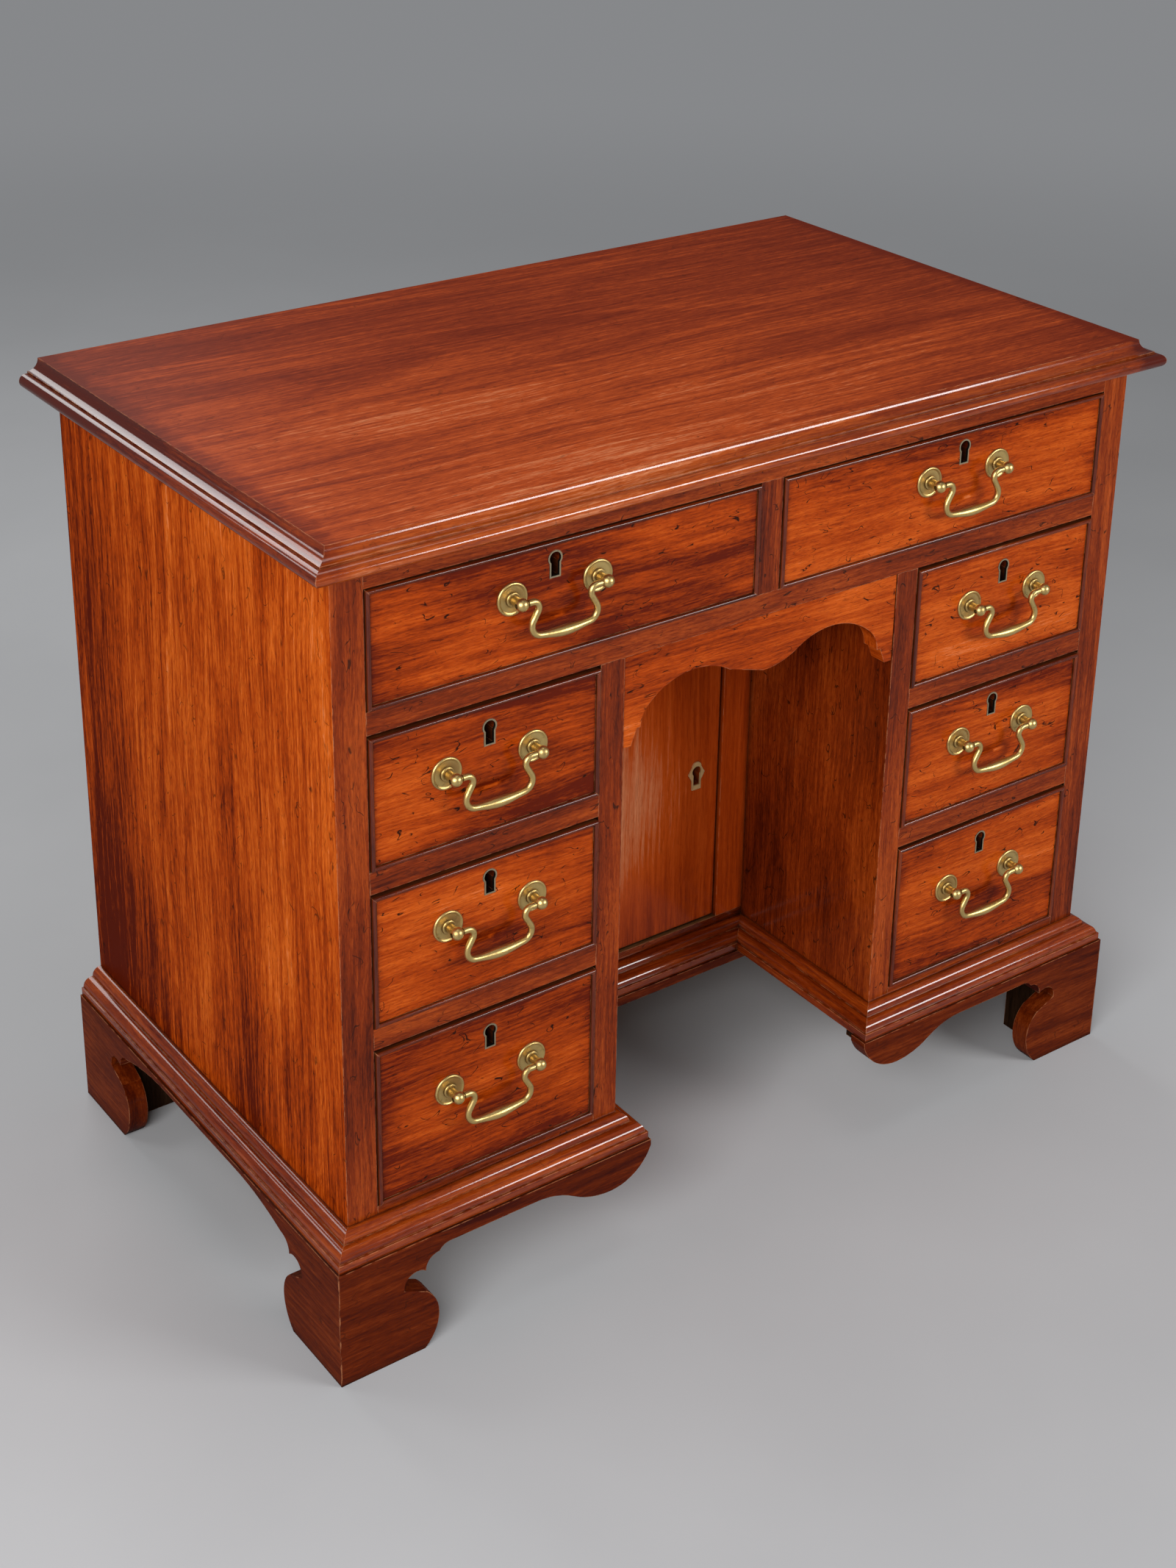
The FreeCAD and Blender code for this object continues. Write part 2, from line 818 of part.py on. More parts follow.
def cupboard():
    stile_depth = (cupboard_front, cupboard_front + S.stile_thickness)
    frame = []
    for word, side in SIDES.items():
        frame.append(box(f"{word}_cupboard_stile", either_side(side, opening_half, knee), stile_depth,
                         (floor_top, upper[1])))
    frame.append(box("cupboard_top_rail", (-opening_half, opening_half), stile_depth,
                     (upper[1] - S.door_head, upper[1])))
    keep(group("cupboard_frame", frame))
    keep(box("cupboard_floor", (-knee, knee), (cupboard_front, back_inner), (floor_under, floor_top)))


def cupboard_door():
    face = rectangle((door_left, door_right), door_span)
    board = extrusion("cupboard_door", "front", [face], S.door_thickness)
    pocket(board, [keyhole_outline(key_slot, key_height, door_key_x, door_key_z)], S.door_thickness)
    keep(place(board, y=door_face))
    lobe = S.plate_lobe_width / 2
    cusp_run = (S.plate_cusp_width - S.plate_foot_width) / 2
    height = S.plate_foot_height + S.plate_cusp_rise + S.plate_shoulder_rise + lobe
    right = path(
        (S.plate_foot_width / 2, -height / 2),
        (ZERO, S.plate_foot_height),
        (cusp_run, S.plate_cusp_rise),
        (lobe - S.plate_cusp_width / 2, S.plate_shoulder_rise),
        (-lobe, lobe, lobe),
    )
    plate_outline = right + reflected(right)[1:]
    hole = keyhole_outline(key_slot, key_height)
    plate = extrusion("door_key_plate", "front", [plate_outline, hole], S.plate_thickness)
    place(plate, door_key_x, door_face - S.plate_thickness, door_key_z)
    lock = box("door_lock", spread(door_key_x, lock_width), (door_back, door_back + S.lock_thickness),
               spread(door_key_z, S.lock_height))
    keep(group("door_brass", [plate, lock]))


hinge_x = hinge_gap / 2 - opening_half
hinge_y = cupboard_front - S.knuckle_diameter / 2 - S.knuckle_standoff
KNUCKLES = 5  # an odd number on each hinge: the frame has one more than the door


def hinge_leaf(name, bottom, plate, own_knuckles, bore):
    """A flat leaf and the knuckles that it carries on the pin."""
    plate_front = hinge_y + S.knuckle_diameter / 2 + S.knuckle_standoff
    pieces = [box(f"{name}_plate", plate, (plate_front, door_back - S.leaf_margin),
                  (bottom, bottom + S.hinge_height))]
    pitch = S.hinge_height / KNUCKLES
    for i in own_knuckles:
        span = (bottom + pitch * i + S.knuckle_gap / 2, bottom + pitch * (i + 1) - S.knuckle_gap / 2)
        pieces.append(upright_cylinder(f"{name}_knuckle_{i}", S.knuckle_diameter, hinge_x, hinge_y, span))
        pieces.append(box(f"{name}_tab_{i}", plate, (hinge_y, plate_front), span))
    hole = upright_cylinder(f"{name}_bore", bore, hinge_x, hinge_y, (bottom, bottom + S.hinge_height))
    return join("Part::Cut", name, fuse(f"{name}_blank", pieces), hole)


def hinges():
    frame_plate = (-opening_half, S.leaf_thickness - opening_half)
    door_plate = (door_left - S.leaf_thickness, door_left)
    bore = S.hinge_pin_diameter + S.pin_clearance * 2
    heights = {
        "lower": door_span[0] + S.hinge_inset,
        "upper": door_span[1] - S.hinge_inset - S.hinge_height,
    }
    frame_leaves = []
    door_leaves = []
    pins = []
    for word, bottom in heights.items():
        odd = range(0, KNUCKLES, 2)
        even = range(1, KNUCKLES, 2)
        frame_leaves.append(hinge_leaf(f"{word}_frame_leaf", bottom, frame_plate, odd, bore))
        door_leaves.append(hinge_leaf(f"{word}_door_leaf", bottom, door_plate, even, bore))
        pins.append(upright_cylinder(f"{word}_hinge_pin", S.hinge_pin_diameter, hinge_x, hinge_y,
                                     (bottom, bottom + S.hinge_height)))
    keep(group("hinge_frame_leaves", frame_leaves))
    keep(group("hinge_door_leaves", door_leaves))
    keep(group("hinge_pins", pins))


# Handles

def rose_and_post():
    """A turned rose, its post with a bored head, and the bolt that goes through the drawer front."""
    rose = S.rose_diameter / 2
    rim_inner = rose - S.rose_rim * 2
    boss = S.boss_diameter / 2
    neck = S.post_neck_diameter / 2
    head = S.post_head_diameter / 2
    bolt = S.bolt_diameter / 2
    bolt_length = S.front_thickness + S.nut_thickness + S.bolt_end
    dish = S.rose_thickness - S.rose_dish
    shoulder = S.pivot_reach - (head * head - neck * neck).root()
    outline = [
        (ZERO, bolt_length),
        (ZERO, -S.pivot_reach - head),
        (head, -S.pivot_reach, head),
        (neck, -shoulder, head),
        (neck, -S.rose_thickness - S.boss_height),
        (boss - S.boss_height, -S.rose_thickness - S.boss_height),
        (boss, -S.rose_thickness, S.boss_height),
        (boss, -dish),
        (rim_inner, -dish),
        (rose - S.rose_rim, -S.rose_thickness, -S.rose_rim * 2),
        (rose, -S.rose_thickness + S.rose_rim, S.rose_rim),
        (rose, ZERO),
        (bolt, ZERO),
        (bolt, bolt_length),
    ]
    body = doc.addObject("PartDesign::Body", "rose_and_post_blank")
    turned = body.newObject("PartDesign::Revolution", "rose_and_post_turned")
    turned.Profile = sketch_on(body, "plan", outline)
    turned.ReferenceAxis = (turned.Profile[0], ["V_Axis"])
    turned.Angle = 360
    bore = doc.addObject("Part::Cylinder", "bail_bore")
    bind(bore, Radius=S.bail_pin_diameter / 2 + S.pin_clearance, Height=S.post_head_diameter * 2)
    bore.Placement.Rotation = Rotation(Vector(0, 1, 0), 90)
    place(bore, -S.post_head_diameter, -S.pivot_reach)
    return join("Part::Cut", "rose_and_post", body, bore)


def bolt_nut():
    """A round nut on the inner end of a handle bolt."""
    rings = [round_outline(S.nut_diameter, ZERO, ZERO),
             round_outline(S.bolt_diameter + S.pin_clearance * 2, ZERO, ZERO)]
    return extrusion("bolt_nut", "front", rings, S.nut_thickness)


def keyhole_lining():
    outlines = [keyhole_outline(S.keyhole_slot, S.keyhole_height), keyhole_outline(key_slot, key_height)]
    return extrusion("keyhole_lining", "front", outlines, S.lining_depth)


def bail_shape():
    """A swan-neck bail hanging from its pivot line, which is the X axis."""
    pin = float(S.bail_pin_diameter) / 2
    neck = float(S.bail_neck_diameter) / 2
    grip = float(S.bail_grip_diameter) / 2
    half_spacing = float(S.post_spacing) / 2
    shoulder = half_spacing - float(S.post_head_diameter) / 2 - float(S.bail_shoulder_gap)
    pin_end = half_spacing + float(S.bail_pin_overrun)
    bend = float(S.bail_neck_bend)
    corner = float(S.bail_corner_bend)
    turn = math.radians(float(S.bail_neck_turn))
    slope = math.radians(float(S.bail_grip_slope))

    def heading(angle):
        return Vector(math.cos(angle), 0, math.sin(angle))

    def arc(start, angle, radius, sweep):
        """An arc from start, heading along angle, that turns by sweep; and where it ends."""
        side = math.copysign(math.pi / 2, sweep)
        centre = start + heading(angle + side) * radius
        points = [centre - heading(angle + side + sweep * share) * radius for share in (0.5, 1)]
        return Part.Arc(start, points[0], points[1]).toShape(), points[1]

    start = Vector(shoulder, 0, 0)
    bend_start = Vector(shoulder - float(S.bail_shoulder_run), 0, 0)
    down, bend_end = arc(bend_start, math.pi, bend, turn)
    run_end = bend_end + heading(math.pi + turn) * float(S.bail_neck_run)
    round_corner, grip_start = arc(run_end, math.pi + turn, corner, slope - turn)
    path = Part.Wire([Part.LineSegment(start, bend_start).toShape(), down,
                      Part.LineSegment(bend_end, run_end).toShape(), round_corner])
    ring = Part.Wire(Part.Circle(start, Vector(1, 0, 0), neck).toShape())
    right_neck = path.makePipeShell([ring], True, False)
    right_pin = Part.makeCylinder(pin, pin_end - shoulder, start, Vector(1, 0, 0))

    grip_radius = grip_start.x / math.sin(slope)
    grip_centre = grip_start.z + grip_radius * math.cos(slope)
    stations = 4
    rings = []
    for i in range(-stations, stations + 1):
        angle = slope * i / stations
        point = Vector(grip_radius * math.sin(angle), 0, grip_centre - grip_radius * math.cos(angle))
        swell = neck + (grip - neck) * math.cos(math.pi / 2 * i / stations) ** 2
        rings.append(Part.Wire(Part.Circle(point, heading(angle), swell).toShape()))
    middle_grip = Part.makeLoft(rings, True, False)
    halves = [right_neck, right_pin]
    halves += [half.mirror(Vector(0, 0, 0), Vector(1, 0, 0)) for half in halves]
    return middle_grip.multiFuse(halves).removeSplitter()


# Drawers

def drawer_places():
    """Row, opening across, opening up, gap above and handle position of every drawer, by name."""
    places = {}
    for word, side in SIDES.items():
        across = either_side(side, divider_half, end_inner)
        handle_x = (across[0] + across[1]) / 2 + S.top_handle_offset * side
        places[f"top_{word}"] = ("top", across, top_row, S.top_drawer_gap, handle_x)
    for word, side in SIDES.items():
        across = either_side(side, partition_outer, end_inner)
        handle_x = (across[0] + across[1]) / 2 + S.pedestal_handle_offset * side
        for row, opening in (("upper", upper), ("middle", middle), ("lower", lower)):
            places[f"{word}_{row}"] = (row, across, opening, S.pedestal_top_gap, handle_x)
    return places


def cock_beads(name, x, z):
    """Four mitred strips round a drawer front, with rounded noses that stand proud of it."""
    width = S.bead_width
    radius = width / 2
    nose = front - S.bead_projection + radius
    rear = front + S.bead_depth
    inner_x = (x[0] + width, x[1] - width)
    inner_z = (z[0] + width, z[1] - width)
    strips = []
    for word, low in (("bottom", z[0]), ("top", inner_z[1])):
        profile = [(nose, low, radius), (rear, low), (rear, low + width), (nose, low + width),
                   (nose - radius, low + radius, radius)]
        body = extrusion(f"{name}_{word}_bead_profile", "side", [profile], x[1] - x[0])
        place(body, x=x[0])
        outer, inner = (z[0], inner_z[0]) if word == "bottom" else (z[1], inner_z[1])
        strips.append((word, body, [(x[0], outer), (x[1], outer), (inner_x[1], inner), (inner_x[0], inner)]))
    for word, low in (("left", x[0]), ("right", inner_x[1])):
        profile = [(low, nose), (low + radius, nose - radius, radius), (low + width, nose, radius),
                   (low + width, rear), (low, rear)]
        body = extrusion(f"{name}_{word}_bead_profile", "plan", [profile], z[1] - z[0])
        place(body, z=z[0])
        outer, inner = (x[0], inner_x[0]) if word == "left" else (x[1], inner_x[1])
        strips.append((word, body, [(outer, z[0]), (inner, inner_z[0]), (inner, inner_z[1]), (outer, z[1])]))
    beads = []
    for word, body, corners in strips:
        mitre = extrusion(f"{name}_{word}_bead_mitre", "front", [corners], S.bead_depth + S.bead_projection)
        place(mitre, y=front - S.bead_projection)
        beads.append(join("Part::Common", f"{name}_{word}_bead", body, mitre))
    return beads


def link(name, master, x, z, offset=ZERO):
    """A copy of a master piece on the face of a drawer front, or set back from it by an offset."""
    copy = doc.addObject("App::Link", name)
    copy.setLink(master)
    return place(copy, x, front + offset, z)


def drawers():
    post = rose_and_post()
    nut = bolt_nut()
    lining = keyhole_lining()
    bail = bail_shape()
    stops = []
    for key, (row, across, opening, top_gap, handle_x) in drawer_places().items():
        name = f"drawer_{key}"
        x = (across[0] + S.drawer_side_gap, across[1] - S.drawer_side_gap)
        z = (opening[0] + S.drawer_seat_gap, opening[1] - top_gap)
        key_z = opening[1] - of_sheet(f"{row}_keyhole_drop")
        handle_z = (opening[0] + opening[1]) / 2 + of_sheet(f"{row}_handle_rise")
        posts = spread(handle_x, S.post_spacing)
        inside_front = front + S.front_thickness
        end = back_inner - S.drawer_rear_room

        board = extrusion(f"{name}_board", "front", [rectangle(x, z)], S.front_thickness)
        field = rectangle((x[0] + S.bead_width, x[1] - S.bead_width),
                          (z[0] + S.bead_width, z[1] - S.bead_width))
        pocket(board, [rectangle(x, z), field], S.bead_depth)
        holes = [keyhole_outline(S.keyhole_slot, S.keyhole_height, handle_x, key_z)]
        holes += [round_outline(S.bolt_diameter + S.pin_clearance * 2, post_x, handle_z) for post_x in posts]
        pocket(board, holes, S.front_thickness)
        place(board, y=front)
        keep(group(f"{name}_front", [board] + cock_beads(name, x, z)))

        sides_z = (z[0], z[1] - S.side_top_drop)
        floor_foot = opening[0] + S.stop_height + S.bottom_clearance
        floor_z = (floor_foot, floor_foot + S.bottom_thickness)
        between = (x[0] + S.side_thickness, x[1] - S.side_thickness)
        keep(group(f"{name}_box", [
            box(f"{name}_left_side", (x[0], between[0]), (inside_front, end), sides_z),
            box(f"{name}_right_side", (between[1], x[1]), (inside_front, end), sides_z),
            box(f"{name}_bottom", between, (inside_front, end), floor_z),
            box(f"{name}_back", between, (end - S.drawer_back_thickness, end),
                (floor_z[1], sides_z[1] - S.drawer_back_drop)),
        ]))

        lock = box(f"{name}_lock", spread(handle_x, lock_width),
                   (inside_front, inside_front + S.lock_thickness), spread(key_z, S.lock_height))
        pieces = [lock, link(f"{name}_lining", lining, handle_x, key_z, -S.lining_proud)]
        for i, post_x in enumerate(posts):
            pieces.append(link(f"{name}_post_{i + 1}", post, post_x, handle_z))
            pieces.append(link(f"{name}_nut_{i + 1}", nut, post_x, handle_z, S.front_thickness))
        keep(group(f"{name}_brass", pieces))

        swing = doc.addObject("Part::Feature", f"{name}_bail")
        swing.Shape = bail.copy()
        keep(place(swing, handle_x, front - S.pivot_reach, handle_z))

        stop_front = inside_front + S.stop_gap
        stop_depth = (stop_front, stop_front + S.stop_length)
        stop_rise = (opening[0], opening[0] + S.stop_height)
        for i, start in enumerate((x[0] + S.stop_inset, x[1] - S.stop_inset - S.stop_width)):
            stops.append(box(f"{name}_stop_{i + 1}", (start, start + S.stop_width), stop_depth, stop_rise))
    keep(group("drawer_stops", stops))


top_board()
carcass()
apron()
feet()
base_moulding()
cupboard()
cupboard_door()
hinges()
drawers()
doc.recompute()

# Nothing is written unless every object is sound

for item in doc.Objects:
    if "Invalid" in item.State or "Error" in item.State:
        raise RuntimeError(f"{item.Name} failed: {item.State}")
for item in sub_parts:
    if item.Shape.isNull() or not item.Shape.isValid():
        raise RuntimeError(f"{item.Label} has no sound shape")

os.makedirs("parts", exist_ok=True)
for item in sub_parts:
    item.Shape.exportStep(f"parts/{item.Label}.step")
print(f"{len(sub_parts)} sub-parts, {sum(len(item.Shape.Solids) for item in sub_parts)} solids")
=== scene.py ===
import math

import bpy
from mathutils import Matrix, Vector

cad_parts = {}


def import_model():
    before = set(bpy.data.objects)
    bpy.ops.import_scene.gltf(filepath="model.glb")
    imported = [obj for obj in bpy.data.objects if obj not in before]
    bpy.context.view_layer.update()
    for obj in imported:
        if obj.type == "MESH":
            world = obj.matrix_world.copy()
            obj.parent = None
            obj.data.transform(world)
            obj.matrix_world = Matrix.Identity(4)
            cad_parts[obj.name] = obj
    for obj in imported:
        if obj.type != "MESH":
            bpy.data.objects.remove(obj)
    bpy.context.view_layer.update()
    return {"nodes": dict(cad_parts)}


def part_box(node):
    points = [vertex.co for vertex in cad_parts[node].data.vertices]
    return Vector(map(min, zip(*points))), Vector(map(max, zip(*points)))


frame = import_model()
nodes = frame["nodes"]
scene = bpy.context.scene
scene.view_settings.view_transform = "Standard"

AXES = "XYZ"
# A face thinner than this counts as flat, and one this near to a side of its node lies on it, in metres
FLAT = 0.001


# Node trees

class Graph:
    """A short way to add shader nodes and join them."""

    def __init__(self, tree):
        self.tree = tree

    def add(self, kind, inputs=(), **settings):
        """A node with some inputs set or joined, by name or by number."""
        node = self.tree.nodes.new(f"ShaderNode{kind}")
        for name, value in settings.items():
            setattr(node, name, value)
        for key, value in dict(inputs).items():
            self.feed(node.inputs[key], value)
        return node

    def feed(self, socket, value):
        """Join an input to another node's output, or set its value."""
        if isinstance(value, bpy.types.NodeSocket):
            self.tree.links.new(value, socket)
        else:
            socket.default_value = value

    def own_place(self):
        """The object's own coordinates, in metres."""
        return self.add("TexCoord").outputs["Object"]

    def math(self, operation, *values):
        return self.add("Math", enumerate(values), operation=operation).outputs[0]

    def off(self, value, centre):
        """How far a value is from a centre."""
        return self.math("ABSOLUTE", self.math("SUBTRACT", value, centre))

    def vector(self, operation, *values):
        return self.add("VectorMath", enumerate(values), operation=operation).outputs["Vector"]

    def measure(self, operation, *vectors):
        """A vector operation that gives a number."""
        return self.add("VectorMath", enumerate(vectors), operation=operation).outputs["Value"]

    def split(self, vector):
        return self.add("SeparateXYZ", {0: vector}).outputs

    def noise(self, place, scale=1.0, detail=2.0, roughness=0.5, distortion=0.0,
              output="Fac", dimensions="3D"):
        """Soft random marks at a place, which is one number if dimensions is 1D."""
        inputs = {"Scale": scale, "Detail": detail, "Roughness": roughness, "Distortion": distortion}
        inputs["W" if dimensions == "1D" else "Vector"] = place
        return self.add("TexNoise", inputs, noise_dimensions=dimensions).outputs[output]

    def rise(self, value, start, end, low=0.0, high=1.0):
        """A smooth step from low at start to high at end."""
        inputs = enumerate((value, start, end, low, high))
        return self.add("MapRange", inputs, interpolation_type="SMOOTHSTEP").outputs[0]

    def mix(self, share, first, second):
        """A blend of two colours."""
        return self.add("Mix", {0: share, 6: first, 7: second}, data_type="RGBA").outputs[2]

    def ramp(self, share, *stops):
        """A colour ramp through stops of (position, colour)."""
        node = self.add("ValToRGB", {0: share})
        elements = node.color_ramp.elements
        while len(elements) < len(stops):
            elements.new(0.5)
        for element, (position, tone) in zip(elements, stops):
            element.position = position
            element.color = tone
        return node.outputs[0]


def colour(red, green, blue):
    return (red, green, blue, 1.0)


def new_material(name):
    """An empty material, its graph and its shader."""
    material = bpy.data.materials.new(name)
    material.use_nodes = True
    material.node_tree.nodes.clear()
    graph = Graph(material.node_tree)
    shader = graph.add("BsdfPrincipled")
    graph.add("OutputMaterial", {"Surface": shader.outputs[0]})
    return material, graph, shader


# Wood

# Grain: how far slow waves bend the fibres in metres, how the heart leans from the board, and rings per metre
FIBRE_BEND = 0.030
HEART_LEAN = (0.05, 0.04)
RINGS_PER_METRE = 75.0


def figure_group():
    """Layers of a board's grain. The place's X runs along the grain, and its origin is the tree's heart."""
    tree = bpy.data.node_groups.new("wood_figure", "ShaderNodeTree")
    tree.interface.new_socket("Place", in_out="INPUT", socket_type="NodeSocketVector")
    for name in ("Rings", "Streaks", "Flecks", "Clouds", "Pores", "Specks", "Dents"):
        tree.interface.new_socket(name, in_out="OUTPUT", socket_type="NodeSocketFloat")
    graph = Graph(tree)
    place = tree.nodes.new("NodeGroupInput").outputs[0]

    def stretched(source, along, across):
        """A place in marks per metre, along and across the grain."""
        return graph.vector("MULTIPLY", source, (along, across, across))

    # Slow waves bend the fibres
    wave = graph.noise(stretched(place, 2.4, 7.0), detail=3.0, output="Color")
    centred = graph.vector("SUBTRACT", wave, (0.5, 0.5, 0.5))
    bend = graph.vector("MULTIPLY", centred, (0.0, FIBRE_BEND, FIBRE_BEND))
    fibre = graph.vector("ADD", place, bend)
    clouds = graph.noise(stretched(place, 2.0, 9.0), detail=3.0, roughness=0.55)

    # Growth rings about a heart that leans from the board, so that they make long arches
    along, *sides = graph.split(fibre)
    squares = []
    for lean, side in zip(HEART_LEAN, sides):
        squares.append(graph.math("POWER", graph.math("MULTIPLY_ADD", along, lean, side), 2.0))
    radius = graph.math("SQRT", graph.math("ADD", *squares))
    rings = graph.noise(radius, scale=RINGS_PER_METRE, detail=5.0, roughness=0.62, dimensions="1D")

    streaks = graph.noise(stretched(fibre, 7.0, 230.0), detail=3.0, roughness=0.6)
    flecks = graph.noise(stretched(fibre, 70.0, 430.0), detail=2.0, distortion=0.6)
    pores = graph.rise(graph.noise(stretched(fibre, 40.0, 900.0), detail=2.0), 0.57, 0.68)
    specks = graph.rise(graph.noise(stretched(fibre, 110.0, 1100.0), detail=2.0), 0.60, 0.72)

    # Short dark dents and scratches: broken contour lines of a stretched noise
    curl = graph.noise(stretched(place, 20.0, 46.0), detail=1.5, distortion=0.8)
    line = graph.rise(graph.off(curl, 0.5), 0.003, 0.014, 1.0, 0.0)
    broken = graph.rise(graph.noise(stretched(place, 40.0, 55.0), detail=1.0), 0.54, 0.62)
    dents = graph.math("MULTIPLY", line, broken)

    output = tree.nodes.new("NodeGroupOutput")
    for socket, value in zip(output.inputs, (rings, streaks, flecks, clouds, pores, specks, dents)):
        graph.feed(socket, value)
    return tree


FIGURE = figure_group()

# Kinds of wood: tones of the dark, middle and light fibres; fineness of the grain; shares of rings, streaks,
# flecks and clouds in the figure; the figure's step from the middle tone to the dark or light one; strength
# of specks and of dents; weight and roughness of the polish
WOODS = {
    "top": dict(
        tones=((0.140, 0.016, 0.005), (0.250, 0.034, 0.008), (0.450, 0.072, 0.013)), fineness=1.3,
        layers=(0.26, 0.40, 0.26, 0.34), spread=0.13, specks=0.50, dents=0.30, polish=(0.14, 0.34)),
    "end": dict(
        tones=((0.085, 0.007, 0.001), (0.345, 0.043, 0.002), (0.590, 0.112, 0.009)), fineness=1.3,
        layers=(0.18, 0.40, 0.23, 0.40), spread=0.12, specks=0.65, dents=0.60, polish=(0.06, 0.25)),
    "front": dict(
        tones=((0.090, 0.007, 0.001), (0.315, 0.039, 0.002), (0.520, 0.090, 0.008)), fineness=1.6,
        layers=(0.18, 0.28, 0.16, 0.54), spread=0.125, specks=0.65, dents=0.95, polish=(0.16, 0.17)),
    "door": dict(
        tones=((0.230, 0.024, 0.003), (0.420, 0.052, 0.004), (0.560, 0.085, 0.009)), fineness=1.2,
        layers=(0.22, 0.40, 0.14, 0.36), spread=0.14, specks=0.20, dents=0.10, polish=(0.22, 0.20)),
    "frame": dict(
        tones=((0.050, 0.005, 0.001), (0.175, 0.021, 0.002), (0.340, 0.056, 0.006)), fineness=1.5,
        layers=(0.20, 0.28, 0.20, 0.46), spread=0.13, specks=0.60, dents=0.80, polish=(0.26, 0.14)),
    "moulding": dict(
        tones=((0.070, 0.006, 0.001), (0.190, 0.024, 0.002), (0.340, 0.060, 0.006)), fineness=1.5,
        layers=(0.20, 0.36, 0.18, 0.34), spread=0.13, specks=0.30, dents=0.30, polish=(0.64, 0.11)),
    "bead": dict(
        tones=((0.035, 0.004, 0.001), (0.095, 0.012, 0.002), (0.190, 0.030, 0.004)), fineness=1.5,
        layers=(0.20, 0.36, 0.18, 0.34), spread=0.13, specks=0.30, dents=0.20, polish=(0.55, 0.11)),
    "foot": dict(
        tones=((0.035, 0.003, 0.001), (0.095, 0.011, 0.001), (0.190, 0.030, 0.004)), fineness=1.3,
        layers=(0.22, 0.28, 0.16, 0.42), spread=0.13, specks=0.45, dents=0.40, polish=(0.14, 0.20)),
    # Painted shadow: near-black wood on faces beside the drawers and on the sides of the drawer fronts
    "painted_shadow": dict(
        tones=((0.022, 0.005, 0.002), (0.050, 0.011, 0.003), (0.095, 0.024, 0.006)), fineness=1.3,
        layers=(0.22, 0.34, 0.18, 0.32), spread=0.15, specks=0.20, dents=0.20, polish=(0.05, 0.30)),
    "oak": dict(
        tones=((0.130, 0.050, 0.016), (0.280, 0.128, 0.045), (0.410, 0.215, 0.088)), fineness=1.0,
        layers=(0.30, 0.36, 0.24, 0.32), spread=0.16, specks=0.25, dents=0.25, polish=(0.0, 0.40)),
    "stained_oak": dict(
        tones=((0.008, 0.004, 0.002), (0.022, 0.010, 0.005), (0.045, 0.022, 0.011)), fineness=1.0,
        layers=(0.30, 0.36, 0.24, 0.32), spread=0.16, specks=0.25, dents=0.25, polish=(0.0, 0.40)),
}
# Dark wax for dents, and the colour of the painted shade in hollows and gaps
BLACK_WAX_AND_SHADE = colour(0.010, 0.003, 0.001)
# Pale worn edges, partly a painted highlight along the arrises
WORN_AND_HIGHLIGHT = colour(0.52, 0.20, 0.085)
# The palest stop of every wood, which the painted light on the top and the painted reflection on the door reach
PALEST_AND_PAINTED_LIGHT = colour(0.80, 0.34, 0.16)

# Rays that look for edges and hollows round a point
NEARBY_RAYS = 6
# What all woods share: lengths in metres, strengths from 0 to 1
EDGE_RADIUS = 0.0014
WAX_AND_SHADE_REACH = 0.012
BUMP_HEIGHT = 0.0006
BUMP_STRENGTH = 0.35
PORE_STRENGTH = 0.40
WEAR_AND_HIGHLIGHT_STRENGTH = 0.65
WAX_AND_SHADE_STRENGTH = 0.85
MIDDLE_ROUGHNESS = 0.50
POLISH_IOR = 1.6


def grain_place(graph, axis, heart):
    """The object's own coordinates from the heart of the tree, turned so that X runs along the grain."""
    parts = graph.split(graph.vector("SUBTRACT", graph.own_place(), heart))
    first = AXES.index(axis)
    return graph.add("CombineXYZ", {i: parts[(first + i) % 3] for i in range(3)}).outputs[0]


